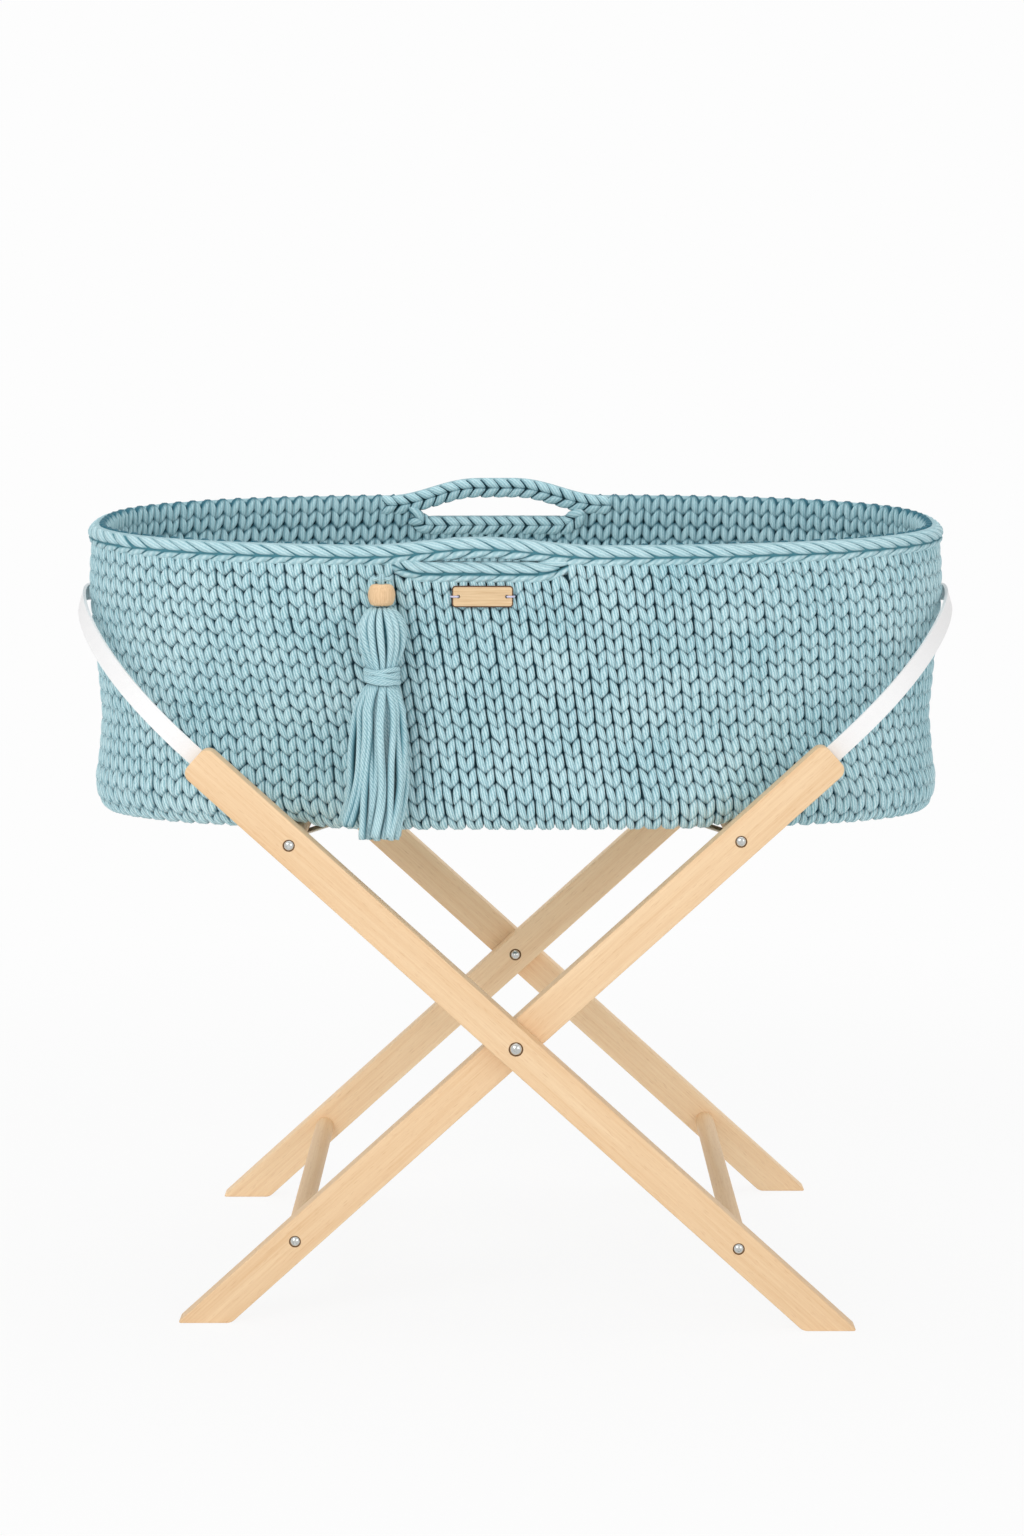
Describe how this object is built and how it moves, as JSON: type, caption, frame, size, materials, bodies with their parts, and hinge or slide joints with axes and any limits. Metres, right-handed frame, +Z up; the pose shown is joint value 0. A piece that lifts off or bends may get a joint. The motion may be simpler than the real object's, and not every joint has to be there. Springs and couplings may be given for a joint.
{
  "type": "moses basket on a folding stand",
  "caption": "Crocheted oval Moses basket with handles, tag and tassel, on a folding wooden X-frame stand with rails and springy end hoops.",
  "frame": {"origin": "on the floor under the middle of the stand", "axes": "+X along the basket to the right of someone who faces its front, +Y from the front to the back, +Z up"},
  "size_m": [0.8668, 0.4942, 0.7914],
  "materials": {
    "beech": "satin",
    "light_wood": "satin",
    "brass": "satin",
    "steel": "polished",
    "white_plastic": "satin",
    "webbing": "matte",
    "board": "matte",
    "mattress_cover": "matte",
    "thread": "matte",
    "crochet_cotton": "matte"
  },
  "bodies": {
    "pivot": {"pivot_bolts": "steel", "pivot_washers": "steel", "pivot_nuts": "steel", "front_strap": "webbing", "rear_strap": "webbing"},
    "outer_frame": {"outer_front_leg": "beech", "outer_rear_leg": "beech", "outer_upper_rail": "beech", "outer_lower_rail": "beech", "outer_rail_inserts": "brass", "outer_rail_screws": "steel", "outer_hoop": "white_plastic", "outer_hoop_screws": "steel"},
    "inner_frame": {"inner_front_leg": "beech", "inner_rear_leg": "beech", "inner_upper_rail": "beech", "inner_lower_rail": "beech", "inner_rail_inserts": "brass", "inner_rail_screws": "steel", "inner_hoop": "white_plastic", "inner_hoop_screws": "steel"},
    "basket": {"basket_wall": "crochet_cotton", "basket_floor": "crochet_cotton", "base_board": "board", "mattress": "mattress_cover", "rim_braid_left": "crochet_cotton", "rim_braid_right": "crochet_cotton", "front_handle": "crochet_cotton", "rear_handle": "crochet_cotton", "front_slot_braid": "crochet_cotton", "rear_slot_braid": "crochet_cotton", "wooden_tag": "light_wood", "tag_stitches": "thread", "tassel_loop": "crochet_cotton"},
    "tassel": {"tassel_cord": "crochet_cotton", "tassel_bead": "light_wood", "tassel_head": "crochet_cotton", "tassel_wrap": "crochet_cotton", "tassel_skirt": "crochet_cotton"}
  },
  "joints": [
    {"name": "outer_fold", "type": "hinge", "parent": "pivot", "child": "outer_frame", "pos_m": [0, 0, 0.273], "axis": [0, 1, 0], "range_deg": [0, 44.6], "deforming": ["outer_hoop", "inner_hoop", "front_strap", "rear_strap"]},
    {"name": "inner_fold", "type": "hinge", "parent": "pivot", "child": "inner_frame", "pos_m": [0, 0, 0.273], "axis": [0, -1, 0], "range_deg": [0, 44.6]},
    {"name": "basket_lift", "type": "slide", "parent": "pivot", "child": "basket", "axis": [0, 0, 1], "range_m": [0, 0.78]},
    {"name": "tassel_swing", "type": "hinge", "parent": "basket", "child": "tassel", "pos_m": [-0.124, -0.2176, 0.70994], "axis": [-1, 0, 0], "range_deg": [0, 75]}
  ],
  "couplings": [
    {"joint": "inner_fold", "follows": "outer_fold", "ratio": 1},
    {"joint": "basket_lift", "follows": "outer_fold", "m_per_rad": 1}
  ]
}
